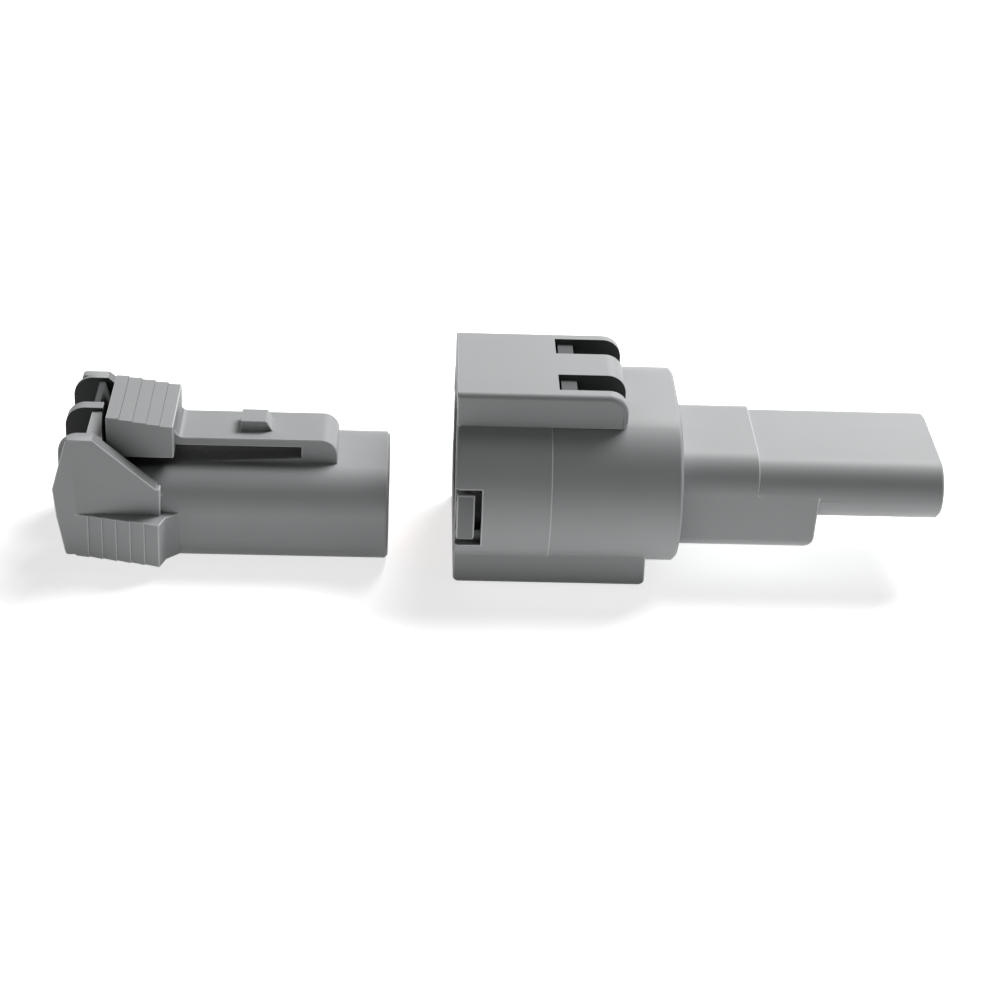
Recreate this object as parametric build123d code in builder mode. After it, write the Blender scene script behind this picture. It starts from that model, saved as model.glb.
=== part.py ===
"""Two-way sealed power connector: a plug half (left) and a receptacle half (right), unmated.

Frame: millimetres, +X along the mating axis from plug to receptacle, +Z up, and the Y = 0
plane is the mirror plane of both halves. Both halves stand on Z = 0, and the origin is the
bottom centre of the whole box. Plug depths are measured back from the plug's front face,
and receptacle depths from the receptacle's mating rim. Heights named on the plug are
measured from the plug's axis, unless their name says otherwise.
"""

import os

from build123d import *

# Overall lengths along the mating axis
plug_length = 44.9
rec_length = 66.0
shown_gap = 8.9

# Plug sleeve, the smooth rounded body that enters the receptacle
sleeve_width = 20.6
sleeve_height = 13.2
sleeve_corner = 5.1
sleeve_chamfer = 0.45
skirt_wall = 1.2
annulus_depth = 18.0
shoulder_depth = 28.7

# Inner tower of the plug and the seat of its ring seal
shroud_play = 0.25
shroud_wall = 1.05
tower_play = 0.3
tower_recess = 3.0
seat_step = 0.5
seat_length = 5.6

# Ring seal on the tower
ring_clearance = 0.25
ring_end_play = 0.2
ring_lip_length = 1.4
ring_lip_depth = 16.0
seal_crush = 0.15
sleeve_play = 0.4

# Contacts: size 12, about 2.4 mm pins
pitch = 8.0
pin_diameter = 2.4
pin_tip_diameter = 1.1
pin_tip_length = 0.8
body_diameter = 3.8
collar_diameter = 4.4
collar_length = 2.0
barrel_length = 11.0
pin_overlap = 9.0
pin_shoulder = 0.8
pin_stop_land = 4.2
socket_outer = 3.5
socket_bore = 2.45
socket_bore_spare = 0.6
socket_inset = 1.0
socket_stop = 14.0

# Passages of the contacts
passage_diameter = 4.6
front_bore = 4.1
wire_bore = 3.4

# Latch arm on the plug
arm_width = 8.8
arm_top = 10.1
arm_thickness = 1.15
root_front_depth = 7.05
root_back_depth = 11.95
root_low = 5.6
root_round = 2.2
rail_low = 5.8
rail_front_top = 7.4
rail_rear_top = 6.3
rail_end = 30.0

# Lug that the receptacle's bar holds back
lug_width = 3.9
lug_height = 1.5
lug_front_depth = 15.95
lug_catch_depth = 20.3
lug_lead = 0.8
lug_round = 0.4

# Thumb pad at the arm's free end, with five stepped treads
pad_width = 14.0
pad_front_depth = 29.0
pad_tread = 1.8
pad_riser = 0.28
pad_lean = 0.05
pad_low_tread = 12.8
pad_bottom = 8.2
pad_root_rise = 1.6
pad_root_round = 1.2
tread_count = 5

# Side plates and the three rear fins of the plug
plate_inner = 9.6
plate_outer = 11.2
plate_front = 30.55
plate_low = -4.6
plate_waist = 1.2
plate_knee = 5.2
plate_top_setback = 2.0
plate_foot_setback = 1.5
plate_waist_setback = 0.4
plate_corner = 0.5
fin_inner = 8.9
fin_top = 12.6
fin_low = -4.3
fin_knee = 8.2
fin_setback = 0.75
fin_foot_setback = 2.2
fin_waist_setback = 1.7
fin_corner = 2.7
mid_fin_thickness = 1.9
slope_top = 39.35
slope_foot = 5.5
slope_land = 0.55

# Web across the fins, behind the thumb pad
web_setback = 4.4
web_top = 12.1
web_low = 5.0
web_knee = 6.4
web_thickness = 0.8
web_foot_run = 2.5

# Ribbed side grips, flaring towards the front
grip_flare = 2.9
grip_low = -4.75
grip_high = 1.6
grip_rear_setback = 2.8
grip_pitch = 1.93
grip_tooth = 0.22
grip_teeth = 6
grip_hollow_run = 1.1
grip_hollow_rise = 0.35
grip_sink = 0.3

# Pocket of the plug's wire seal
plug_pocket_width = 16.6
plug_pocket_height = 6.8
plug_pocket_depth = 9.6
plug_seal_recess = 0.9
plug_seal_end_play = 0.3

# Receptacle outer body
body_radius = 10.71
body_flat = 12.48
body_axis = 12.44
body_end = 30.15
body_end_chamfer = 0.55
rim_chamfer = 0.45
step_depth = 12.8
step_height = 0.15
mate_axis = 12.7

# Foot below the shroud
foot_half_width = 13.27
foot_end = 25.97
foot_top = 8.0
foot_corner = 0.9
foot_end_round = 1.1

# Latch tunnel over the receptacle
cover_half_width = 10.5
cover_top = 26.9
cover_end = 22.8
cover_round = 2.6
cover_side_low = 22.2
cover_low_cut = 0.7
cover_edge_round = 0.8
slot_start = 13.55
slot_in = 3.5
slot_out = 8.44
slot_floor_rise = 0.05
tunnel_half_width = 8.6
tunnel_low = 4.0
latch_play = 0.3
catch_play = 0.2
lug_headroom = 0.35
strip_thickness = 2.2

# Bridges across the slots of the cover, near their front ends
bridge_start = 13.95
bridge_end = 16.05
bridge_drop = 0.75
bridge_thickness = 1.2

# Side cores, side windows and the ribs inside them
shell_wall = 2.0
guide_wall = 1.4
core_depth = 27.0
core_corner = 2.0
core_height = 30.0
window_length = 3.5
window_low = 7.0
window_high = 15.65
window_width = 4.6
window_reach = 0.5
rib_start = 0.2
rib_end = 2.6
rib_low = 7.8
rib_high = 14.8
rib_inset = 0.45
rib_thickness = 1.1
rib_span = 60.0
rib_web_low = 10.0
rib_web_high = 12.0

# Rear of the receptacle: third step, keel and wire barrel
third_end = 41.0
third_top = 17.75
third_half_width = 11.5
third_corner = 4.6
keel_end = 49.2
keel_lean = 0.4
keel_half_width = 11.15
keel_bottom = 5.1
keel_corner = 1.5
keel_round = 2.0
barrel_width = 22.3
barrel_height = 8.3
barrel_axis = 12.95
barrel_chamfer = 0.45
floor_clearance = 0.4
shroud_tip_rise = 0.5

# Pocket and wire seal of the receptacle
rec_pocket_width = 18.4
rec_pocket_height = 5.9
rec_pocket_depth = 15.0
rec_seal_length = 12.6
rec_seal_recess = 1.9

# Ribs of both wire seals
seal_groove = 0.45
seal_rib = 1.6
plug_seal_ribs = [1.2, 5.0]
rec_seal_ribs = [2.0, 8.6]

# Clip slot in the foot
clip_slit = 7.0
clip_width = 11.0
clip_lip = 1.1
clip_depth = 2.5
clip_length = 17.0

# Wedge locks
wedge_slot_half = 1.0
wedge_slot_height = 5.2
wedge_slot_past_collar = 3.0
wedge_tongue_past_collar = 2.4
wedge_play = 0.15
lock_plate = 1.5
plug_lock_plate = 1.2
lock_edge_play = 0.15
lock_hole_play = 0.35

# Overlaps that only make cuts clean and blocks join
bury = 1.5
cut_spare = 1.0

# Positions derived from the sizes above
total_length = plug_length + shown_gap + rec_length
plug_front = plug_length - total_length / 2
rec_front = plug_front + shown_gap
plug_axis = sleeve_height / 2
mated_depth = shoulder_depth - latch_play
floor_depth = mated_depth + floor_clearance
shroud_tip = mated_depth - annulus_depth + shroud_tip_rise
web_depth = plug_length - web_setback
fin_rear = plug_length - fin_setback
ways = [-pitch / 2, pitch / 2]

# Half sizes of the nested rounded sections, from the outside in
skirt_y = sleeve_width / 2 - skirt_wall
skirt_z = sleeve_height / 2 - skirt_wall
skirt_r = sleeve_corner - skirt_wall
shroud_y = skirt_y - shroud_play
shroud_z = skirt_z - shroud_play
shroud_r = skirt_r - shroud_play
bore_y = shroud_y - shroud_wall
bore_z = shroud_z - shroud_wall
bore_r = shroud_r - shroud_wall
tower_y = bore_y - tower_play
tower_z = bore_z - tower_play
tower_r = bore_r - tower_play
seat_y = tower_y - seat_step
seat_z = tower_z - seat_step
seat_r = tower_r - seat_step
cavity_y = sleeve_width / 2 + sleeve_play
cavity_z = sleeve_height / 2 + sleeve_play
cavity_r = sleeve_corner + sleeve_play
band_y = bore_y - ring_clearance
band_z = bore_z - ring_clearance
band_r = bore_r - ring_clearance

# Contact positions: the collar of each contact stops against a shoulder in its passage
socket_front = tower_recess + socket_inset
socket_end = socket_stop + collar_length + barrel_length
pin_tip = mated_depth - tower_recess - pin_overlap
pin_stop = floor_depth + pin_stop_land
pin_end = pin_stop + collar_length + barrel_length
wedge_slot_end = socket_stop + collar_length + wedge_slot_past_collar
rec_wedge_slot_end = pin_stop + collar_length + wedge_slot_past_collar


def px(depth):
    return plug_front - depth


def rx(depth):
    return rec_front + depth


def plug_plane(depth):
    return Plane.YZ.offset(px(depth))


def rec_plane(depth):
    return Plane.YZ.offset(rx(depth))


def section(plane, half_y, half_z, radius, centre_z):
    """Rounded rectangle on a plane across the mating axis."""
    with BuildSketch(plane) as outline:
        with Locations((0, centre_z)):
            RectangleRounded(2 * half_y, 2 * half_z, radius)
    return outline.sketch


def stadium(plane, width, height, centre_z):
    """Flat-sided oval with half-round ends on a plane across the mating axis."""
    with BuildSketch(plane) as outline:
        with Locations((0, centre_z)):
            SlotOverall(width, height)
    return outline.sketch


def round_ways(plane, diameter, centre_z):
    """One circle for each of the two contact ways."""
    with BuildSketch(plane) as outline:
        with Locations(*[(y, centre_z) for y in ways]):
            Circle(diameter / 2)
    return outline.sketch


def side_profile(points, rounds=(), y=0.0):
    """Closed outline from (x, z) points on a plane along the mating axis at y, with (corner, radius) rounds."""
    with BuildSketch(Plane.XZ.offset(-y)) as outline:
        with BuildLine():
            Polyline(*points, close=True)
        make_face()
        for corner, radius in rounds:
            fillet(outline.vertices().sort_by_distance(points[corner])[0], radius)
    return outline.sketch


# Plug housing: sleeve, tower, latch arm, thumb pad, plates, fins and grips in one moulding
with BuildPart() as plug_housing:
    extrude(section(plug_plane(web_depth), sleeve_width / 2, sleeve_height / 2, sleeve_corner, plug_axis),
            amount=web_depth)
    sleeve_lip = plug_housing.faces().sort_by(Axis.X)[-1].edges()
    chamfer(sleeve_lip, sleeve_chamfer)
    # Annular space for the receptacle's inner shroud
    extrude(section(plug_plane(0), skirt_y, skirt_z, skirt_r, plug_axis), amount=-annulus_depth,
            mode=Mode.SUBTRACT)
    extrude(section(plug_plane(annulus_depth), tower_y, tower_z, tower_r, plug_axis),
            amount=annulus_depth - tower_recess)
    # Seat of the ring seal, cut back from the tower at its root
    with BuildSketch(plug_plane(annulus_depth)) as seat_ring:
        with Locations((0, plug_axis)):
            RectangleRounded(2 * tower_y, 2 * tower_z, tower_r)
            RectangleRounded(2 * seat_y, 2 * seat_z, seat_r, mode=Mode.SUBTRACT)
    extrude(seat_ring.sketch, amount=seat_length, mode=Mode.SUBTRACT)

    # Side plates, each with an angular outer layer and a rounded inner fin
    plate_points = [
        (px(plug_length - plate_top_setback), plug_axis + fin_top),
        (px(slope_top), plug_axis + fin_top),
        (px(plate_front + slope_land), plug_axis + slope_foot),
        (px(plate_front), plug_axis + slope_foot),
        (px(plate_front), plug_axis + plate_low),
        (px(plug_length - plate_foot_setback), plug_axis + plate_low),
        (px(plug_length - plate_waist_setback), plug_axis + plate_waist),
        (px(plug_length), plug_axis + plate_knee),
    ]
    rear_edge = [
        (px(fin_rear), plug_axis + fin_top),
        (px(fin_rear), plug_axis + fin_knee),
        (px(plug_length - fin_waist_setback), plug_axis + plate_waist),
        (px(plug_length - fin_foot_setback), plug_axis + fin_low),
    ]
    fin_points = rear_edge + [
        (px(plate_front + slope_land), plug_axis + fin_low),
        (px(plate_front + slope_land), plug_axis + slope_foot),
        (px(slope_top), plug_axis + fin_top),
    ]
    for side in (-1, 1):
        plate = side_profile(plate_points, [(0, plate_corner), (5, plate_corner)],
                             side * (plate_inner + plate_outer) / 2)
        extrude(plate, amount=(plate_outer - plate_inner) / 2, both=True)
        fin = side_profile(fin_points, [(0, fin_corner)], side * (fin_inner + plate_inner) / 2)
        extrude(fin, amount=(plate_inner - fin_inner) / 2, both=True)
    mid_points = rear_edge + [
        (px(web_depth - bury), plug_axis + fin_low),
        (px(web_depth - bury), plug_axis + fin_top),
    ]
    extrude(side_profile(mid_points, [(0, fin_corner)]), amount=mid_fin_thickness / 2, both=True)
    # Transverse web behind the thumb pad, with its sloping front
    web_points = [
        (px(web_depth), plug_axis + web_low),
        (px(web_depth), plug_axis + web_top),
        (px(web_depth - web_thickness), plug_axis + web_top),
        (px(web_depth - web_foot_run), plug_axis + web_knee),
        (px(web_depth - web_foot_run), plug_axis + web_low),
    ]
    extrude(side_profile(web_points), amount=fin_inner, both=True)

    # Ribbed side grips
    grip_rear = plug_length - grip_rear_setback
    for side in (-1, 1):
        grip_points = [(px(grip_rear), side * fin_inner), (px(grip_rear), side * plate_outer)]
        for tooth in range(1, grip_teeth + 1):
            out = plate_outer + grip_flare * tooth / grip_teeth
            tip = px(grip_rear - grip_pitch * tooth)
            grip_points.append((tip, side * out))
            if tooth < grip_teeth:
                grip_points.append((tip, side * (out - grip_tooth)))
        grip_points.append((px(shoulder_depth + grip_hollow_run), side * (sleeve_width / 2 + grip_hollow_rise)))
        grip_points.append((px(shoulder_depth), side * (sleeve_width / 2 - grip_sink)))
        grip_points.append((px(shoulder_depth), side * fin_inner))
        with BuildSketch(Plane.XY.offset(plug_axis + grip_low)) as grip:
            with BuildLine():
                Polyline(*grip_points, close=True)
            make_face()
        extrude(grip.sketch, amount=grip_high - grip_low)

    # Root block and latch arm, free at the rear
    root_points = [
        (px(root_front_depth), plug_axis + arm_top),
        (px(root_back_depth), plug_axis + arm_top),
        (px(root_back_depth), plug_axis + root_low),
        (px(root_front_depth), plug_axis + root_low),
    ]
    extrude(side_profile(root_points, [(0, root_round)]), amount=arm_width / 2, both=True)
    arm_points = [
        (px(pad_front_depth), plug_axis + arm_top),
        (px(pad_front_depth), plug_axis + arm_top + pad_root_rise),
        (px(pad_front_depth + cut_spare), plug_axis + arm_top + pad_root_rise),
        (px(pad_front_depth + cut_spare), plug_axis + arm_top - arm_thickness),
        (px(root_back_depth - bury), plug_axis + arm_top - arm_thickness),
        (px(root_back_depth - bury), plug_axis + arm_top),
    ]
    extrude(side_profile(arm_points, [(0, pad_root_round)]), amount=arm_width / 2, both=True)
    # Low rail on the sleeve, under the arm
    rail_points = [
        (px(root_back_depth - bury), plug_axis + rail_low),
        (px(root_back_depth - bury), plug_axis + rail_front_top),
        (px(rail_end), plug_axis + rail_rear_top),
        (px(rail_end), plug_axis + rail_low),
    ]
    extrude(side_profile(rail_points), amount=arm_width / 2, both=True)
    # Lug with its sloping lead
    lug_points = [
        (px(lug_front_depth + lug_lead), plug_axis + arm_top + lug_height),
        (px(lug_catch_depth), plug_axis + arm_top + lug_height),
        (px(lug_catch_depth), plug_axis + arm_top - arm_thickness / 2),
        (px(lug_front_depth), plug_axis + arm_top - arm_thickness / 2),
        (px(lug_front_depth), plug_axis + arm_top),
    ]
    extrude(side_profile(lug_points, [(0, lug_round)]), amount=lug_width / 2, both=True)
    # Thumb pad
    pad_points = [
        (px(pad_front_depth + pad_tread * tread_count), plug_axis + pad_bottom),
        (px(pad_front_depth), plug_axis + pad_bottom),
    ]
    for tread in range(tread_count):
        tread_height = plug_axis + pad_low_tread + pad_riser * tread
        pad_points.append((px(pad_front_depth + pad_tread * tread), tread_height))
        pad_points.append((px(pad_front_depth + pad_tread * (tread + 1)), tread_height + pad_lean))
    extrude(side_profile(pad_points), amount=pad_width / 2, both=True)

    # Passages from the rear pocket to the tower's front
    extrude(stadium(plug_plane(web_depth), plug_pocket_width, plug_pocket_height, plug_axis),
            amount=plug_pocket_depth, mode=Mode.SUBTRACT)
    extrude(round_ways(plug_plane(web_depth), passage_diameter, plug_axis), amount=web_depth - socket_stop,
            mode=Mode.SUBTRACT)
    extrude(round_ways(plug_plane(socket_stop), front_bore, plug_axis), amount=socket_stop, mode=Mode.SUBTRACT)
    # Slot for the wedge lock's tongue
    with BuildSketch(plug_plane(wedge_slot_end)) as tongue_slot:
        with Locations((0, plug_axis)):
            Rectangle(2 * wedge_slot_half, wedge_slot_height)
    extrude(tongue_slot.sketch, amount=wedge_slot_end, mode=Mode.SUBTRACT)

# Foot below the receptacle's shroud, rounded along its sides and at its ends
with BuildPart() as foot_block:
    with BuildSketch(rec_plane(0)) as foot:
        with Locations((0, foot_top / 2)):
            Rectangle(2 * foot_half_width, foot_top)
        fillet(foot.vertices().group_by(Axis.Y)[0], foot_corner)
    extrude(foot.sketch, amount=foot_end)
    foot_points = [(rx(0), 0), (rx(foot_end), 0), (rx(foot_end), foot_top), (rx(0), foot_top)]
    foot_side = side_profile(foot_points, [(0, foot_end_round), (1, foot_end_round)])
    extrude(foot_side, amount=foot_half_width, both=True, mode=Mode.INTERSECT)

# Keel below the wire barrel, rounded along its sides and at its leaning end
with BuildPart() as keel_block:
    keel_start = body_end - bury
    with BuildSketch(rec_plane(keel_start)) as keel:
        with Locations((0, (barrel_axis + keel_bottom) / 2)):
            Rectangle(2 * keel_half_width, barrel_axis - keel_bottom)
        fillet(keel.vertices().group_by(Axis.Y)[0], keel_corner)
    extrude(keel.sketch, amount=keel_end - keel_start)
    keel_points = [
        (rx(keel_end - keel_lean), keel_bottom),
        (rx(keel_end), barrel_axis),
        (rx(keel_start), barrel_axis),
        (rx(keel_start), keel_bottom),
    ]
    keel_side = side_profile(keel_points, [(0, keel_round)])
    extrude(keel_side, amount=keel_half_width, both=True, mode=Mode.INTERSECT)

# Cover of the latch tunnel with its rounded rear end
with BuildPart() as cover_block:
    cover_points = [
        (rx(cover_end), cover_top),
        (rx(cover_end), cover_side_low + cover_low_cut),
        (rx(cover_end - cover_low_cut), cover_side_low),
        (rx(0), cover_side_low),
        (rx(0), cover_top),
    ]
    extrude(side_profile(cover_points, [(0, cover_round)]), amount=cover_half_width, both=True)
    cover_edges = cover_block.edges().filter_by(Axis.X).group_by(Axis.Z)[-1]
    fillet(cover_edges, cover_edge_round)

# Receptacle housing: shroud, latch tunnel, foot, rear steps and wire barrel in one moulding
with BuildPart() as receptacle_housing:
    extrude(stadium(rec_plane(0), body_flat + 2 * body_radius, 2 * body_radius, body_axis), amount=step_depth)
    extrude(stadium(rec_plane(step_depth), body_flat + 2 * body_radius - 2 * step_height,
                    2 * body_radius - 2 * step_height, body_axis), amount=body_end - step_depth)
    end_edges = receptacle_housing.faces().sort_by(Axis.X)[-1].edges()
    chamfer(end_edges, body_end_chamfer)
    rim_edges = receptacle_housing.faces().sort_by(Axis.X)[0].edges()
    chamfer(rim_edges, rim_chamfer)

    # Rear barrel, third step, keel, foot and tunnel cover
    extrude(stadium(rec_plane(body_end - bury), barrel_width, barrel_height, barrel_axis),
            amount=rec_length - body_end + bury)
    barrel_edges = receptacle_housing.faces().sort_by(Axis.X)[-1].edges()
    chamfer(barrel_edges, barrel_chamfer)
    with BuildSketch(rec_plane(body_end - bury)) as third:
        with Locations((0, (third_top + keel_bottom) / 2)):
            RectangleRounded(2 * third_half_width, third_top - keel_bottom, third_corner)
    extrude(third.sketch, amount=third_end - body_end + bury)
    add(keel_block.part)
    add(foot_block.part)
    add(cover_block.part)

    # Mating cavity, round the plug's sleeve
    extrude(section(rec_plane(0), cavity_y, cavity_z, cavity_r, mate_axis), amount=floor_depth,
            mode=Mode.SUBTRACT)
    # Latch tunnel: low ceiling under the bar at the mouth, high behind it
    bar_end = mated_depth - lug_catch_depth - catch_play
    bar_ceiling = mate_axis + arm_top + latch_play
    lug_ceiling = mate_axis + arm_top + lug_height + lug_headroom
    tunnel_points = [
        (rx(-cut_spare), mate_axis + tunnel_low),
        (rx(-cut_spare), bar_ceiling),
        (rx(bar_end), bar_ceiling),
        (rx(bar_end), lug_ceiling),
        (rx(cover_end - strip_thickness), lug_ceiling),
        (rx(cover_end - strip_thickness), mate_axis + tunnel_low),
    ]
    extrude(side_profile(tunnel_points), amount=tunnel_half_width, both=True, mode=Mode.SUBTRACT)
    # Two open-ended slots in the cover's top, either side of the middle strip
    slot_length = cover_end + cut_spare - slot_start
    slot_drop = cover_top + cut_spare - body_axis - body_radius - slot_floor_rise
    bridge_top = cover_top - bridge_drop
    for side in (-1, 1):
        with BuildSketch(Plane.XY.offset(cover_top + cut_spare)) as slot:
            with Locations((rx(slot_start + slot_length / 2), side * (slot_in + slot_out) / 2)):
                Rectangle(slot_length, slot_out - slot_in)
        extrude(slot.sketch, amount=-slot_drop, mode=Mode.SUBTRACT)
        # Bridge across the slot
        with BuildSketch(Plane.XY.offset(bridge_top)) as bridge:
            with Locations((rx((bridge_start + bridge_end) / 2), side * (slot_in + slot_out) / 2)):
                Rectangle(bridge_end - bridge_start, slot_out - slot_in)
        extrude(bridge.sketch, amount=-bridge_thickness)

    # Side cores that keep the thick sides hollow
    with BuildSketch(rec_plane(0)) as core:
        with Locations((0, body_axis)):
            SlotOverall(body_flat + 2 * body_radius - 2 * shell_wall, 2 * body_radius - 2 * shell_wall)
        with Locations((0, mate_axis)):
            RectangleRounded(2 * cavity_y + 2 * guide_wall, core_height, core_corner, mode=Mode.SUBTRACT)
    extrude(core.sketch, amount=core_depth, mode=Mode.SUBTRACT)
    # Side windows at the rim
    body_half = body_flat / 2 + body_radius
    for side in (-1, 1):
        with BuildSketch(rec_plane(0)) as window:
            with Locations((side * (body_half - window_reach), (window_low + window_high) / 2)):
                Rectangle(window_width, window_high - window_low)
        extrude(window.sketch, amount=window_length, mode=Mode.SUBTRACT)
    # Thin tongues inside the windows, each joined to the guide wall by a low web behind it
    rib_half = body_half - rib_inset
    with BuildSketch(rec_plane(rib_start)) as ribs:
        with Locations((0, body_axis)):
            SlotOverall(2 * rib_half, 2 * body_radius - 2 * rib_inset)
        with Locations((0, (rib_low + rib_high) / 2)):
            Rectangle(rib_span, rib_high - rib_low, mode=Mode.INTERSECT)
            Rectangle(2 * rib_half - 2 * rib_thickness, rib_span, mode=Mode.SUBTRACT)
        web_reach = rib_half - rib_thickness / 2
        web_root = cavity_y + guide_wall / 2
        for side in (-1, 1):
            with Locations((side * (web_reach + web_root) / 2, (rib_web_low + rib_web_high) / 2)):
                Rectangle(web_reach - web_root, rib_web_high - rib_web_low)
    extrude(ribs.sketch, amount=rib_end - rib_start)

    # Inner shroud round the pins
    with BuildSketch(rec_plane(shroud_tip)) as inner:
        with Locations((0, mate_axis)):
            RectangleRounded(2 * shroud_y, 2 * shroud_z, shroud_r)
            RectangleRounded(2 * bore_y, 2 * bore_z, bore_r, mode=Mode.SUBTRACT)
    extrude(inner.sketch, amount=floor_depth - shroud_tip)

    # Contact passages and the seal's pocket
    extrude(round_ways(rec_plane(floor_depth), front_bore, mate_axis), amount=pin_stop - floor_depth,
            mode=Mode.SUBTRACT)
    extrude(round_ways(rec_plane(pin_stop), passage_diameter, mate_axis), amount=rec_length - pin_stop,
            mode=Mode.SUBTRACT)
    extrude(stadium(rec_plane(rec_length), rec_pocket_width, rec_pocket_height, mate_axis),
            amount=-rec_pocket_depth, mode=Mode.SUBTRACT)
    with BuildSketch(rec_plane(floor_depth)) as rec_tongue_slot:
        with Locations((0, mate_axis)):
            Rectangle(2 * wedge_slot_half, wedge_slot_height)
    extrude(rec_tongue_slot.sketch, amount=rec_wedge_slot_end - floor_depth, mode=Mode.SUBTRACT)

    # Clip slot along the underside of the foot, open at its rear end
    with BuildSketch(rec_plane(foot_end)) as clip:
        with Locations((0, (clip_lip - cut_spare) / 2)):
            Rectangle(clip_slit, clip_lip + cut_spare)
        with Locations((0, (clip_lip + clip_depth) / 2)):
            Rectangle(clip_width, clip_depth - clip_lip)
    extrude(clip.sketch, amount=-clip_length, mode=Mode.SUBTRACT)

# Plug wedge lock: faceplate with two pin holes and a tongue between the contacts
with BuildPart() as plug_wedge_lock:
    with BuildSketch(plug_plane(tower_recess)) as face_plate:
        with Locations((0, plug_axis)):
            RectangleRounded(2 * tower_y - 2 * lock_edge_play, 2 * tower_z - 2 * lock_edge_play,
                             tower_r - lock_edge_play)
        with Locations(*[(y, plug_axis) for y in ways]):
            Circle(pin_diameter / 2 + lock_hole_play, mode=Mode.SUBTRACT)
    extrude(face_plate.sketch, amount=plug_lock_plate)
    with BuildSketch(plug_plane(tower_recess)) as tongue:
        with Locations((0, plug_axis)):
            Rectangle(2 * wedge_slot_half - 2 * wedge_play, wedge_slot_height - 2 * wedge_play)
    extrude(tongue.sketch, amount=tower_recess - socket_stop - collar_length - wedge_tongue_past_collar)

# Receptacle wedge lock, on the cavity floor round the pins
with BuildPart() as receptacle_wedge_lock:
    with BuildSketch(rec_plane(floor_depth)) as rec_plate:
        with Locations((0, mate_axis)):
            RectangleRounded(2 * bore_y - 2 * lock_edge_play, 2 * bore_z - 2 * lock_edge_play,
                             bore_r - lock_edge_play)
        with Locations(*[(y, mate_axis) for y in ways]):
            Circle(pin_diameter / 2 + lock_hole_play, mode=Mode.SUBTRACT)
    extrude(rec_plate.sketch, amount=-lock_plate)
    with BuildSketch(rec_plane(floor_depth)) as rec_tongue:
        with Locations((0, mate_axis)):
            Rectangle(2 * wedge_slot_half - 2 * wedge_play, wedge_slot_height - 2 * wedge_play)
    extrude(rec_tongue.sketch, amount=pin_stop + collar_length + wedge_tongue_past_collar - floor_depth)

# Ring seal on the plug's tower: a band with a lip round its middle
with BuildPart() as plug_interface_seal:
    with BuildSketch(plug_plane(annulus_depth)) as band:
        with Locations((0, plug_axis)):
            RectangleRounded(2 * band_y, 2 * band_z, band_r)
            RectangleRounded(2 * seat_y, 2 * seat_z, seat_r, mode=Mode.SUBTRACT)
    extrude(band.sketch, amount=seat_length - ring_end_play)
    with BuildSketch(plug_plane(ring_lip_depth)) as lip_ring:
        with Locations((0, plug_axis)):
            RectangleRounded(2 * bore_y + 2 * seal_crush, 2 * bore_z + 2 * seal_crush, bore_r + seal_crush)
            RectangleRounded(2 * seat_y, 2 * seat_z, seat_r, mode=Mode.SUBTRACT)
    extrude(lip_ring.sketch, amount=ring_lip_length)

# Wire seal of the plug: an oval block with ribs and two wire bores
with BuildPart() as plug_wire_seal:
    plug_seal_back = web_depth - plug_seal_recess
    plug_seal_length = plug_pocket_depth - plug_seal_recess - plug_seal_end_play
    extrude(stadium(plug_plane(plug_seal_back), plug_pocket_width - 2 * seal_groove,
                    plug_pocket_height - 2 * seal_groove, plug_axis), amount=plug_seal_length)
    for rib_place in plug_seal_ribs:
        extrude(stadium(plug_plane(plug_seal_back - rib_place), plug_pocket_width, plug_pocket_height, plug_axis),
                amount=seal_rib)
    extrude(round_ways(plug_plane(plug_seal_back), wire_bore, plug_axis), amount=plug_seal_length,
            mode=Mode.SUBTRACT)

# Wire seal of the receptacle, in its rear barrel
with BuildPart() as receptacle_wire_seal:
    rec_seal_front = rec_length - rec_seal_recess - rec_seal_length
    extrude(stadium(rec_plane(rec_seal_front), rec_pocket_width - 2 * seal_groove,
                    rec_pocket_height - 2 * seal_groove, mate_axis), amount=rec_seal_length)
    for rib_place in rec_seal_ribs:
        extrude(stadium(rec_plane(rec_seal_front + rib_place), rec_pocket_width, rec_pocket_height, mate_axis),
                amount=seal_rib)
    extrude(round_ways(rec_plane(rec_seal_front), wire_bore, mate_axis), amount=rec_seal_length,
            mode=Mode.SUBTRACT)

# Pin contact: pin, collar and wire barrel turned in one piece
pin_profile = [
    (rx(pin_tip), 0.0),
    (rx(pin_tip), pin_tip_diameter / 2),
    (rx(pin_tip + pin_tip_length), pin_diameter / 2),
    (rx(floor_depth + pin_shoulder), pin_diameter / 2),
    (rx(floor_depth + pin_shoulder), body_diameter / 2),
    (rx(pin_stop), body_diameter / 2),
    (rx(pin_stop), collar_diameter / 2),
    (rx(pin_stop + collar_length), collar_diameter / 2),
    (rx(pin_stop + collar_length), body_diameter / 2),
    (rx(pin_end), body_diameter / 2),
    (rx(pin_end), 0.0),
]
# Socket contact: bored front, collar and wire barrel
socket_profile = [
    (px(socket_front), socket_outer / 2),
    (px(socket_front), socket_bore / 2),
    (px(socket_front + pin_overlap + socket_bore_spare), socket_bore / 2),
    (px(socket_front + pin_overlap + socket_bore_spare), 0.0),
    (px(socket_end), 0.0),
    (px(socket_end), body_diameter / 2),
    (px(socket_stop + collar_length), body_diameter / 2),
    (px(socket_stop + collar_length), collar_diameter / 2),
    (px(socket_stop), collar_diameter / 2),
    (px(socket_stop), socket_outer / 2),
]


def turned(profile, y, z):
    """Solid of revolution from (x, radius) points, round a line along X through (y, z)."""
    with BuildPart() as body:
        with BuildSketch(Plane.XY.offset(z)) as outline:
            with BuildLine():
                Polyline(*[(x, y + radius) for x, radius in profile], close=True)
            make_face()
        revolve(axis=Axis((0, y, z), (1, 0, 0)))
    return body


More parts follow.
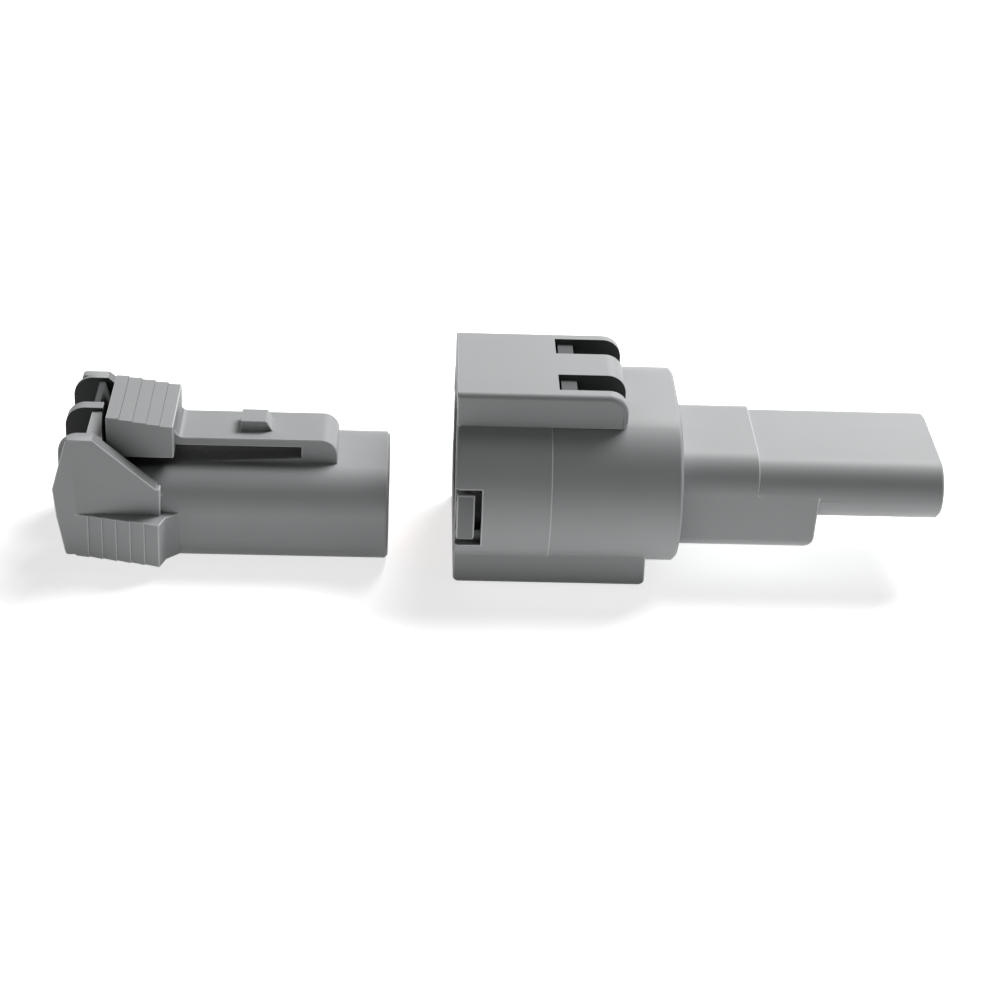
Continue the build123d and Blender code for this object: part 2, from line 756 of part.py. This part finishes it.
pin_contact_near = turned(pin_profile, ways[0], mate_axis)
pin_contact_far = turned(pin_profile, ways[1], mate_axis)
socket_contact_near = turned(socket_profile, ways[0], plug_axis)
socket_contact_far = turned(socket_profile, ways[1], plug_axis)

os.makedirs("parts", exist_ok=True)
plug_housing.part.label = "plug_housing"
export_step(plug_housing.part, "parts/plug_housing.step")
plug_wedge_lock.part.label = "plug_wedge_lock"
export_step(plug_wedge_lock.part, "parts/plug_wedge_lock.step")
plug_interface_seal.part.label = "plug_interface_seal"
export_step(plug_interface_seal.part, "parts/plug_interface_seal.step")
plug_wire_seal.part.label = "plug_wire_seal"
export_step(plug_wire_seal.part, "parts/plug_wire_seal.step")
receptacle_housing.part.label = "receptacle_housing"
export_step(receptacle_housing.part, "parts/receptacle_housing.step")
receptacle_wedge_lock.part.label = "receptacle_wedge_lock"
export_step(receptacle_wedge_lock.part, "parts/receptacle_wedge_lock.step")
receptacle_wire_seal.part.label = "receptacle_wire_seal"
export_step(receptacle_wire_seal.part, "parts/receptacle_wire_seal.step")
pin_contact_near.part.label = "pin_contact_near"
export_step(pin_contact_near.part, "parts/pin_contact_near.step")
pin_contact_far.part.label = "pin_contact_far"
export_step(pin_contact_far.part, "parts/pin_contact_far.step")
socket_contact_near.part.label = "socket_contact_near"
export_step(socket_contact_near.part, "parts/socket_contact_near.step")
socket_contact_far.part.label = "socket_contact_far"
export_step(socket_contact_far.part, "parts/socket_contact_far.step")
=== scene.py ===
import math

import bmesh
import bpy
import numpy as np
from mathutils import Matrix, Vector


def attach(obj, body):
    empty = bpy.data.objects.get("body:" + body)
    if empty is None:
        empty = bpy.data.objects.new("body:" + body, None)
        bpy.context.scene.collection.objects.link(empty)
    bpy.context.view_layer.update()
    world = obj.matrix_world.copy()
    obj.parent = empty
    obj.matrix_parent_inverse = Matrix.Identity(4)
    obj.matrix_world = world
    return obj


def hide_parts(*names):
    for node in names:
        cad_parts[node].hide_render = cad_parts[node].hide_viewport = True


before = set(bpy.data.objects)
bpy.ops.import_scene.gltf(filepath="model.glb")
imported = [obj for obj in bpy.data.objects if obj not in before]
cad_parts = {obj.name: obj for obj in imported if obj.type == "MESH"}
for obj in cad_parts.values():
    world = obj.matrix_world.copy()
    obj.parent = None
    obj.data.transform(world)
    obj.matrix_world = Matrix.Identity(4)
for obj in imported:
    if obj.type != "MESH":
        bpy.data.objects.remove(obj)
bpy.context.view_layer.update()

# ---- Receptacle housing
# The right half's one-piece shell: shroud, latch tunnel, foot, stepped rear and wire barrel.
# It is injection-moulded glass-filled nylon in satin grey, with softly broken edges all round,
# and it stands on its foot.

def value_node(tree, kind, x, y, **inputs):
    """Adds one node at (x, y) and sets the plain values of its named inputs."""
    node = tree.nodes.new(kind)
    node.location = (x, y)
    for name, value in inputs.items():
        node.inputs[name.replace("_", " ")].default_value = value
    return node


surface_outputs = (("Colour", "NodeSocketColor"), ("Roughness", "NodeSocketFloat"),
                   ("Height", "NodeSocketFloat"))
# A colour Mix node's two colour inputs, by number because its other kinds use the same names
FIRST_COLOUR, SECOND_COLOUR = 6, 7
speckle_share, cloud_share, roughness_spread = 0.35, 0.9, 0.12


def moulded_surface():
    """Group for satin moulded plastic. Colour mixes the two tones by a slow cloudy noise plus a fine
    speckle, and falls, as painted shade in recesses, towards the shade share where less than 42
    percent of the view is open out to the shade reach; Roughness is the mean plus the speckle; Height
    is the mould's fine grain."""
    group = bpy.data.node_groups.new("moulded plastic surface", "ShaderNodeTree")
    face = group.interface
    for name, kind, default in (("Light Tone", "NodeSocketColor", (0.4, 0.4, 0.4, 1)),
                                ("Dark Tone", "NodeSocketColor", (0.3, 0.3, 0.3, 1)),
                                ("Grain Size", "NodeSocketFloat", 0.00012),
                                ("Cloud Size", "NodeSocketFloat", 0.012),
                                ("Mean Roughness", "NodeSocketFloat", 0.45),
                                ("Painted Shade Reach", "NodeSocketFloat", 0.014),
                                ("Painted Shade Share", "NodeSocketFloat", 0.12)):
        face.new_socket(name=name, in_out="INPUT", socket_type=kind).default_value = default
    for name, kind in surface_outputs:
        face.new_socket(name=name, in_out="OUTPUT", socket_type=kind)
    entry = group.nodes.new("NodeGroupInput")
    entry.location = (-1100, 0)
    leave = group.nodes.new("NodeGroupOutput")
    leave.location = (700, 0)
    place = value_node(group, "ShaderNodeTexCoord", -1100, 300)
    link = group.links.new

    def size_to_scale(socket, y):
        flip = value_node(group, "ShaderNodeMath", -900, y)
        flip.operation = "DIVIDE"
        flip.inputs[0].default_value = 1.0
        link(entry.outputs[socket], flip.inputs[1])
        return flip.outputs[0]

    cloud = value_node(group, "ShaderNodeTexNoise", -650, 350, Detail=3.0, Roughness=0.55)
    link(place.outputs["Object"], cloud.inputs["Vector"])
    link(size_to_scale("Cloud Size", 200), cloud.inputs["Scale"])
    grain = value_node(group, "ShaderNodeTexNoise", -650, 50, Detail=2.0, Roughness=0.6)
    link(place.outputs["Object"], grain.inputs["Vector"])
    link(size_to_scale("Grain Size", 0), grain.inputs["Scale"])
    speckle = value_node(group, "ShaderNodeMath", -420, 50)
    speckle.operation = "MULTIPLY"
    speckle.inputs[1].default_value = speckle_share
    link(grain.outputs["Fac"], speckle.inputs[0])
    blend = value_node(group, "ShaderNodeMath", -220, 250)
    blend.operation = "MULTIPLY_ADD"
    blend.inputs[1].default_value = cloud_share
    link(cloud.outputs["Fac"], blend.inputs[0])
    link(speckle.outputs[0], blend.inputs[2])
    tone = group.nodes.new("ShaderNodeMix")
    tone.data_type = "RGBA"
    tone.location = (0, 250)
    link(blend.outputs[0], tone.inputs["Factor"])
    link(entry.outputs["Dark Tone"], tone.inputs[FIRST_COLOUR])
    link(entry.outputs["Light Tone"], tone.inputs[SECOND_COLOUR])
    # Painted shade: the colour darkens in recesses, by how much of the view is open out to the reach
    opening = value_node(group, "ShaderNodeAmbientOcclusion", -220, 600)
    opening.only_local = True
    opening.samples = 8
    link(entry.outputs["Painted Shade Reach"], opening.inputs["Distance"])
    recess = value_node(group, "ShaderNodeMapRange", 0, 600, From_Min=0.2, From_Max=0.42)
    link(opening.outputs["AO"], recess.inputs["Value"])
    link(entry.outputs["Painted Shade Share"], recess.inputs["To Min"])
    shaded = value_node(group, "ShaderNodeVectorMath", 250, 350)
    shaded.operation = "SCALE"
    link(tone.outputs[2], shaded.inputs[0])
    link(recess.outputs[0], shaded.inputs["Scale"])
    link(shaded.outputs[0], leave.inputs["Colour"])
    rough = value_node(group, "ShaderNodeMath", 0, 0)
    rough.operation = "MULTIPLY_ADD"
    rough.inputs[1].default_value = roughness_spread
    link(grain.outputs["Fac"], rough.inputs[0])
    link(entry.outputs["Mean Roughness"], rough.inputs[2])
    link(rough.outputs[0], leave.inputs["Roughness"])
    link(grain.outputs["Fac"], leave.inputs["Height"])
    return group


plastic_surface = moulded_surface()
plastic_roughness = 0.42


def moulded_plastic(name, light, dark):
    """Satin moulded plastic: the surface group on a Principled shader, its grain as a slight bump."""
    material = bpy.data.materials.new(name)
    material.use_nodes = True
    tree = material.node_tree
    shader = tree.nodes["Principled BSDF"]
    shader.inputs["IOR"].default_value = 1.47
    shader.inputs["Specular IOR Level"].default_value = 0.25
    surface = tree.nodes.new("ShaderNodeGroup")
    surface.node_tree = plastic_surface
    surface.location = (-600, 0)
    surface.inputs["Light Tone"].default_value = light
    surface.inputs["Dark Tone"].default_value = dark
    surface.inputs["Mean Roughness"].default_value = plastic_roughness
    bump = value_node(tree, "ShaderNodeBump", -300, -200, Strength=0.12, Distance=0.00003)
    tree.links.new(surface.outputs["Colour"], shader.inputs["Base Color"])
    tree.links.new(surface.outputs["Roughness"], shader.inputs["Roughness"])
    tree.links.new(surface.outputs["Height"], bump.inputs["Height"])
    tree.links.new(bump.outputs["Normal"], shader.inputs["Normal"])
    return material


# Paint slots: plain, a lighter edge paint as a painted highlight, painted shade, painted half shade
PLAIN, EDGE_HIGHLIGHT, SHADE_PAINT, HALF_SHADE = 0, 1, 2, 3
weld_gap = 1e-7
sliver = 2e-6
flat_turn = math.radians(0.6)
outer_corner_turn = math.radians(47)
inner_corner_turn = math.radians(-25)


def softened_copy(node, name, edge, trim, paint_at):
    """A copy of a CAD node's mesh, trimmed by trim(x, y, z) and with its triangles merged into whole
    faces. paint_at gives each face's paint, plain or painted shade, by its centre and normal. The
    outer corners are broken by a small rounded bevel in a lighter paint, a painted highlight, apart
    from those of faces in painted shade, which stay dark."""
    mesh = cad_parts[node].data.copy()
    mesh.name = name
    mesh.materials.clear()
    corners = np.empty(3 * len(mesh.vertices))
    mesh.vertices.foreach_get("co", corners)
    trim(*corners.reshape(-1, 3).T)
    mesh.vertices.foreach_set("co", corners)
    work = bmesh.new()
    work.from_mesh(mesh)
    bmesh.ops.remove_doubles(work, verts=work.verts, dist=weld_gap)
    bmesh.ops.dissolve_degenerate(work, edges=work.edges, dist=sliver)
    bmesh.ops.dissolve_limit(work, angle_limit=flat_turn, verts=work.verts, edges=work.edges)
    for face in work.faces:
        face.material_index = paint_at(face.calc_center_median(), face.normal)
    outward = work.edges.layers.float.new("bevel_weight_edge")
    # Edges beside painted shade get no bevel, so no painted highlight, and stay sharp
    for line in work.edges:
        turn = line.calc_face_angle_signed(0.0)
        shaded = any(face.material_index == SHADE_PAINT for face in line.link_faces)
        line[outward] = float(turn > outer_corner_turn and not shaded)
        line.smooth = turn > inner_corner_turn and not shaded
    work.to_mesh(mesh)
    work.free()
    mesh.shade_smooth()
    piece = bpy.data.objects.new(name, mesh)
    bpy.context.scene.collection.objects.link(piece)
    # The bevel's faces take the lighter edge paint, a painted highlight
    bevel = piece.modifiers.new("broken edges", "BEVEL")
    bevel.width = edge
    bevel.segments = 3
    bevel.limit_method = "WEIGHT"
    bevel.use_clamp_overlap = False
    bevel.loop_slide = False
    bevel.material = EDGE_HIGHLIGHT
    even = piece.modifiers.new("flat faces stay flat", "WEIGHTED_NORMAL")
    even.keep_sharp = True
    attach(piece, "root")
    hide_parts(node)
    return piece


receptacle_grey = moulded_plastic("receptacle grey plastic",
                                  (0.42, 0.43, 0.435, 1), (0.37, 0.38, 0.385, 1))
# A lighter paint on the broken edges: a painted highlight
edge_highlight_grey = moulded_plastic("edge plastic with painted highlight",
                            (0.66, 0.67, 0.68, 1), (0.60, 0.61, 0.62, 1))
# A dark paint for painted shade in the cover's slots
painted_shade_grey = moulded_plastic("recess plastic with painted shade",
                             (0.105, 0.109, 0.112, 1), (0.085, 0.088, 0.09, 1))
# A half dark paint for painted half shade
painted_half_shade_grey = moulded_plastic("plastic with painted half shade",
                           (0.23, 0.237, 0.24, 1), (0.20, 0.206, 0.209, 1))


slot_start, slot_end, slot_inner, slot_outer = 0.0070, 0.0167, 0.0034, 0.0085
slot_floor, slot_brim = 0.0225, 0.0266
tongue_end, tongue_inner, tongue_low, tongue_high = -0.0033, 0.009, 0.0077, 0.0149
mostly_sideways = 0.5


def slots_and_tongues(centre, normal):
    """Painted shade for the walls, floors and small bridges inside the two slots of the cover, and
    painted half shade for the tongues that stand back in the side windows."""
    slot_along = slot_start < centre.x < slot_end and slot_inner < abs(centre.y) < slot_outer
    if slot_along and slot_floor < centre.z < slot_brim:
        return SHADE_PAINT
    beside = abs(centre.y) > tongue_inner and abs(normal.y) > mostly_sideways
    tongue = centre.x < tongue_end and beside and tongue_low < centre.z < tongue_high
    return HALF_SHADE if tongue else PLAIN


keel_flank, step_flank = 0.01115, 0.01152
step_front, step_rear, step_low, step_top = 0.0238, 0.0351, 0.005, 0.0178
step_corner_y, step_corner_z, step_corner_round, step_trim = 0.0069, 0.01315, 0.0046, 0.00035
on_the_round, just_below = 0.000003, 0.00001


def flush_rear(x, y, z):
    """Brings the flanks of the third step in to the keel's, so that they run on as one face, and
    moves its rounded upper corners in by as much."""
    step = (x > step_front) & (x < step_rear) & (z > step_low) & (z < step_top) & (abs(y) < step_flank)
    above = (z > step_corner_z - just_below) & (abs(y) > step_corner_y - just_below)
    from_round = np.hypot(abs(y) - step_corner_y, z - step_corner_z) - step_corner_round
    corner = step & above & (abs(from_round) < on_the_round)
    y[corner] -= np.sign(y[corner]) * step_trim
    proud = step & (abs(y) > keel_flank)
    y[proud] = np.sign(y[proud]) * keel_flank


receptacle_edge = 0.00018
receptacle = softened_copy("receptacle_housing", "receptacle_shell", receptacle_edge,
                           flush_rear, slots_and_tongues)
for paint in (receptacle_grey, edge_highlight_grey, painted_shade_grey, painted_half_shade_grey):
    receptacle.data.materials.append(paint)


# ---- Plug housing
# The left half's one-piece shell: sleeve, latch arm, thumb pad, side plates and grips.
# It is moulded from the same satin grey nylon.

plug_grey = moulded_plastic("plug grey plastic", (0.42, 0.43, 0.435, 1), (0.37, 0.38, 0.385, 1))
# A near black paint for painted shade in the wire channels and on the tread risers
painted_deep_shade_grey = moulded_plastic("painted shade in wire channels",
                            (0.07, 0.073, 0.075, 1), (0.058, 0.06, 0.062, 1))


nearly_square, mostly_forward, leaning = 0.9, 0.7, 0.4
fin_front, fin_outer = -0.0550, 0.0092
far_web_front, far_web_rear, far_web_inner, far_web_outer = -0.0500, -0.0556, 0.001, 0.0088
far_web_low, far_web_high = 0.0110, 0.0188
tread_rear, tread_front, tread_half_width, tread_low = -0.054, -0.0445, 0.0069, 0.0192
slope_rear, slope_front, slope_inner = -0.0545, -0.0455, 0.0088
pad_front_rear, pad_front_front, pad_front_low, half_forward = -0.0442, -0.0425, 0.0155, 0.5


def channels_and_slopes(centre, normal):
    """Painted shade for the inner sides of the rear fins and the far web, where the wires run in
    shade, and for the low risers between the thumb pad's treads, which are painted dark so that they
    show as dark lines; painted half shade for the side plates' slopes and the thumb pad's front, which
    this lamp alone would leave too bright."""
    x, y, z = centre
    channel = x < fin_front and abs(y) < fin_outer and abs(normal.y) > nearly_square
    far_web = far_web_rear < x < far_web_front and far_web_inner < y < far_web_outer
    tread = tread_rear < x < tread_front and z > tread_low and abs(y) < tread_half_width
    riser = tread and normal.x > mostly_forward
    if channel or riser or (far_web and far_web_low < z < far_web_high):
        return SHADE_PAINT
    plate = slope_rear < x < slope_front and abs(y) > slope_inner
    slope = plate and normal.x > leaning and normal.z > leaning
    front = pad_front_rear < x < pad_front_front and z > pad_front_low
    pad_front = front and normal.x > half_forward
    return HALF_SHADE if slope or pad_front else PLAIN


grip_low, grip_high = 0.0017, 0.0084
toe_rear, toe_front, toe_moved = -0.0443, -0.0436, -0.0431
toe_inner, toe_outer = 0.0085, 0.01035
hollow_x, hollow_y, hollow_filled = -0.0448, 0.01065, 0.0117
web_x, web_z, web_inner, web_width = -0.0547, 0.0187, 0.00095, 0.00795
web_widening, web_fanning, web_drop = 0.0006, 0.0008, 0.0005
corner_reach = 0.0001


def straighter_grips(x, y, z):
    """Fills the hollow at the front of each side grip, moves its toe forward along the sleeve, and
    lets the top of the near web run on to the near side plate's slope."""
    beside = (z > grip_low) & (z < grip_high)
    out = abs(y)
    toe = beside & (x > toe_rear) & (x < toe_front) & (out > toe_inner) & (out < toe_outer)
    hollow = beside & (abs(x - hollow_x) < corner_reach) & (abs(out - hollow_y) < corner_reach)
    x[toe] = toe_moved
    y[hollow] = np.sign(y[hollow]) * hollow_filled
    web_front = (abs(x - web_x) < corner_reach) & (abs(z - web_z) < corner_reach) & (y < 0)
    outward = (-y[web_front] - web_inner) / web_width
    x[web_front] += web_widening + web_fanning * outward
    z[web_front] -= web_drop * outward


plug_edge = 0.00015
plug = softened_copy("plug_housing", "plug_shell", plug_edge,
                     straighter_grips, channels_and_slopes)
for paint in (plug_grey, edge_highlight_grey, painted_deep_shade_grey, painted_half_shade_grey):
    plug.data.materials.append(paint)


# ---- Wedge locks
# Small faceplates with a tongue that spreads behind the contacts and keeps them in.
# Each is moulded in orange nylon and pressed in from the mating face.

lock_orange = moulded_plastic("orange wedge lock plastic",
                              (0.80, 0.24, 0.03, 1), (0.66, 0.17, 0.02, 1))
for name in ("plug_wedge_lock", "receptacle_wedge_lock"):
    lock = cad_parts[name]
    lock.data.materials.clear()
    lock.data.materials.append(lock_orange)


# ---- Seals
# Soft silicone: a ring round the plug's tower and an oval block at the back of each half.
# They are compression moulded, brick red, and oiled so that wires slide in.

seal_red = moulded_plastic("brick red silicone", (0.42, 0.09, 0.035, 1), (0.33, 0.065, 0.026, 1))
for name in ("plug_interface_seal", "plug_wire_seal", "receptacle_wire_seal"):
    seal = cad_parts[name]
    seal.data.materials.clear()
    seal.data.materials.append(seal_red)


# ---- Contacts
# Two solid pins and two sockets, turned from copper alloy and nickel plated.
# Each is pushed in from behind until its collar stops in the housing.

squeezed_along_x = (9000.0, 250.0, 250.0)
ring_spread, polish = 0.16, 0.18


def turned_surface():
    """Group for turned and plated metal. Rings are a noise squeezed along X, so that they run round
    each contact; Colour mixes the two tones by a slow stain, Roughness is the polish plus the rings
    and Height is the rings."""
    group = bpy.data.node_groups.new("turned metal surface", "ShaderNodeTree")
    face = group.interface
    for name in ("Light Tone", "Dark Tone"):
        face.new_socket(name=name, in_out="INPUT", socket_type="NodeSocketColor")
    for name, kind in surface_outputs:
        face.new_socket(name=name, in_out="OUTPUT", socket_type=kind)
    entry = group.nodes.new("NodeGroupInput")
    entry.location = (-700, 0)
    leave = group.nodes.new("NodeGroupOutput")
    leave.location = (500, 0)
    place = value_node(group, "ShaderNodeTexCoord", -900, 300)
    squeeze = value_node(group, "ShaderNodeVectorMath", -700, 300)
    squeeze.operation = "MULTIPLY"
    squeeze.inputs[1].default_value = squeezed_along_x
    rings = value_node(group, "ShaderNodeTexNoise", -500, 300, Scale=1.0, Detail=2.0)
    stain = value_node(group, "ShaderNodeTexNoise", -500, 0, Scale=350.0, Detail=3.0)
    tone = group.nodes.new("ShaderNodeMix")
    tone.data_type = "RGBA"
    tone.location = (-200, 100)
    rough = value_node(group, "ShaderNodeMath", -200, 300)
    rough.operation = "MULTIPLY_ADD"
    rough.inputs[1].default_value = ring_spread
    rough.inputs[2].default_value = polish
    for start, end in ((place.outputs["Object"], squeeze.inputs[0]),
                       (squeeze.outputs[0], rings.inputs["Vector"]),
                       (place.outputs["Object"], stain.inputs["Vector"]),
                       (stain.outputs["Fac"], tone.inputs["Factor"]),
                       (entry.outputs["Dark Tone"], tone.inputs[FIRST_COLOUR]),
                       (entry.outputs["Light Tone"], tone.inputs[SECOND_COLOUR]),
                       (rings.outputs["Fac"], rough.inputs[0]),
                       (tone.outputs[2], leave.inputs["Colour"]),
                       (rough.outputs[0], leave.inputs["Roughness"]),
                       (rings.outputs["Fac"], leave.inputs["Height"])):
        group.links.new(start, end)
    return group


contact_nickel = bpy.data.materials.new("nickel plating")
contact_nickel.use_nodes = True
nickel_tree = contact_nickel.node_tree
nickel = nickel_tree.nodes["Principled BSDF"]
nickel.inputs["Metallic"].default_value = 1.0
turned = nickel_tree.nodes.new("ShaderNodeGroup")
turned.node_tree = turned_surface()
turned.location = (-600, 0)
turned.inputs["Light Tone"].default_value = (0.70, 0.68, 0.62, 1)
turned.inputs["Dark Tone"].default_value = (0.52, 0.50, 0.44, 1)
turning = value_node(nickel_tree, "ShaderNodeBump", -300, -200, Strength=0.2, Distance=0.00001)
nickel_tree.links.new(turned.outputs["Colour"], nickel.inputs["Base Color"])
nickel_tree.links.new(turned.outputs["Roughness"], nickel.inputs["Roughness"])
nickel_tree.links.new(turned.outputs["Height"], turning.inputs["Height"])
nickel_tree.links.new(turning.outputs["Normal"], nickel.inputs["Normal"])
for name in ("pin_contact_near", "pin_contact_far",
             "socket_contact_near", "socket_contact_far"):
    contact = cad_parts[name]
    contact.data.materials.clear()
    contact.data.materials.append(contact_nickel)


# ---- Floor, light and camera
# A wide pale sheet that throws light back up and also glows for the object as painted light, with a
# painted shadow close to each half; one large soft lamp overhead and a faint fill from all round, and
# the camera where the photograph was taken from.

floor_mesh = bpy.data.meshes.new("floor")
floor_reach = 3.0
floor_mesh.from_pydata([(-floor_reach, -floor_reach, 0), (floor_reach, -floor_reach, 0),
                        (floor_reach, floor_reach, 0), (-floor_reach, floor_reach, 0)],
                       [], [(0, 1, 2, 3)])
floor = bpy.data.objects.new("floor", floor_mesh)
floor_gap = 0.00005
floor.location = (0, 0, -floor_gap)
bpy.context.scene.collection.objects.link(floor)
floor_paint = bpy.data.materials.new("pale floor")
floor_paint.use_nodes = True
floor_tree = floor_paint.node_tree
floor_shader = floor_tree.nodes["Principled BSDF"]
floor_shader.inputs["Roughness"].default_value = 0.9
floor_shader.inputs["Specular IOR Level"].default_value = 0.0


def background_rays(tree):
    """1 for camera, glossy and transmission rays, which show the background, and 0 for all others."""
    path = value_node(tree, "ShaderNodeLightPath", -900, 0)
    seen = path.outputs["Is Camera Ray"]
    for place, kind in ((-720, "Is Glossy Ray"), (-560, "Is Transmission Ray")):
        either = value_node(tree, "ShaderNodeMath", place, 0)
        either.operation = "MAXIMUM"
        tree.links.new(seen, either.inputs[0])
        tree.links.new(path.outputs[kind], either.inputs[1])
        seen = either.outputs[0]
    return seen


seen_floor = background_rays(floor_tree)
floor_tone = floor_tree.nodes.new("ShaderNodeMix")
floor_tone.data_type = "RGBA"
floor_tone.location = (-300, 100)
floor_tone.inputs[FIRST_COLOUR].default_value = (0.4, 0.4, 0.4, 1)
floor_tone.inputs[SECOND_COLOUR].default_value = (0.9, 0.9, 0.9, 1)
floor_tree.links.new(seen_floor, floor_tone.inputs["Factor"])
floor_tree.links.new(floor_tone.outputs[2], floor_shader.inputs["Base Color"])
floor_shader.inputs["Emission Color"].default_value = (1, 1, 1, 1)
# The floor also glows for the object, painted light standing in for the light that it throws back
# up: a painted shadow makes it less close to each half, and it is less far off
floor_place = value_node(floor_tree, "ShaderNodeTexCoord", -1700, -400)
footprints = (((0.0069, 0.0, 0.0), (0.013, 0.0133, 0.0)),
              ((-0.0375, 0.0, 0.0), (0.0225, 0.0112, 0.0)))
away = []
for row, (middle, half) in enumerate(footprints):
    beside = floor_place.outputs["Object"]
    for column, (step, by) in enumerate((("SUBTRACT", middle), ("ABSOLUTE", None),
                                         ("SUBTRACT", half), ("MAXIMUM", (0.0, 0.0, 0.0)),
                                         ("LENGTH", None))):
        node = value_node(floor_tree, "ShaderNodeVectorMath", -1500 + 180 * column, -400 - 300 * row)
        node.operation = step
        floor_tree.links.new(beside, node.inputs[0])
        if by is not None:
            node.inputs[1].default_value = by
        beside = node.outputs["Value" if step == "LENGTH" else "Vector"]
    away.append(beside)
closer = value_node(floor_tree, "ShaderNodeMath", -550, -400)
closer.operation = "MINIMUM"
floor_tree.links.new(away[0], closer.inputs[0])
floor_tree.links.new(away[1], closer.inputs[1])
# Painted shadow on the floor's glow close to each half, then less glow far off
painted_floor_shadow = value_node(floor_tree, "ShaderNodeMapRange", -420, -300, From_Max=0.011)
painted_floor_shadow.interpolation_type = "SMOOTHSTEP"
painted_floor_shadow.inputs["To Min"].default_value = 0.1
painted_floor_shadow.inputs["To Max"].default_value = 0.92
floor_tree.links.new(closer.outputs[0], painted_floor_shadow.inputs["Value"])
painted_far_fade = value_node(floor_tree, "ShaderNodeMapRange", -420, -600, From_Min=0.011, From_Max=0.09)
painted_far_fade.interpolation_type = "SMOOTHSTEP"
painted_far_fade.inputs["To Min"].default_value = 1.0
painted_far_fade.inputs["To Max"].default_value = 0.3
floor_tree.links.new(closer.outputs[0], painted_far_fade.inputs["Value"])
painted_floor_glow = value_node(floor_tree, "ShaderNodeMath", -320, -450)
painted_floor_glow.operation = "MULTIPLY"
floor_tree.links.new(painted_floor_shadow.outputs[0], painted_floor_glow.inputs[0])
floor_tree.links.new(painted_far_fade.outputs[0], painted_floor_glow.inputs[1])
# Emission: the painted floor glow for light rays, 0.7 for camera, glossy and transmission rays
glow = value_node(floor_tree, "ShaderNodeMapRange", -250, -200)
glow.inputs["To Max"].default_value = 0.7
floor_tree.links.new(seen_floor, glow.inputs["Value"])
floor_tree.links.new(painted_floor_glow.outputs[0], glow.inputs["To Min"])
floor_tree.links.new(glow.outputs[0], floor_shader.inputs["Emission Strength"])
floor_mesh.materials.append(floor_paint)

world = bpy.data.worlds.new("studio")
bpy.context.scene.world = world
world.use_nodes = True
world_tree = world.node_tree
room = world_tree.nodes["Background"]
room.inputs["Color"].default_value = (1, 1, 1, 1)
strength = value_node(world_tree, "ShaderNodeMapRange", -300, 0)
strength.inputs["To Min"].default_value = 0.06
strength.inputs["To Max"].default_value = 1.0
world_tree.links.new(background_rays(world_tree), strength.inputs["Value"])
world_tree.links.new(strength.outputs[0], room.inputs["Strength"])

key_data = bpy.data.lights.new("overhead softbox", "AREA")
key_data.shape = "RECTANGLE"
key_data.size = 0.24
key_data.size_y = 0.16
key_data.energy = 1.8
key = bpy.data.objects.new("overhead softbox", key_data)
key.location = (0.15, 0.192, 0.30)
key.rotation_euler = (-Vector(key.location)).to_track_quat("-Z", "Y").to_euler()
bpy.context.scene.collection.objects.link(key)

camera_data = bpy.data.cameras.new("camera")
camera_data.sensor_width = 36.0
camera_data.lens = 94.54
camera_data.clip_start = 0.02
camera_data.clip_end = 10.0
camera = bpy.data.objects.new("camera", camera_data)
pitch, yaw, roll = math.radians(27.0), math.radians(2.33), math.radians(2.30)
forward = Vector((math.sin(yaw) * math.cos(pitch), math.cos(yaw) * math.cos(pitch), -math.sin(pitch)))
level_right = Vector((math.cos(yaw), -math.sin(yaw), 0.0))
level_up = level_right.cross(forward)
right = math.cos(roll) * level_right + math.sin(roll) * level_up
up = -math.sin(roll) * level_right + math.cos(roll) * level_up
standpoint = Matrix.Translation((-0.01279, -0.32516, 0.17181))
camera.matrix_world = standpoint @ Matrix((right, up, -forward)).transposed().to_4x4()
bpy.context.scene.collection.objects.link(camera)
bpy.context.scene.camera = camera
bpy.context.scene.view_settings.view_transform = "Standard"

bpy.context.view_layer.update()
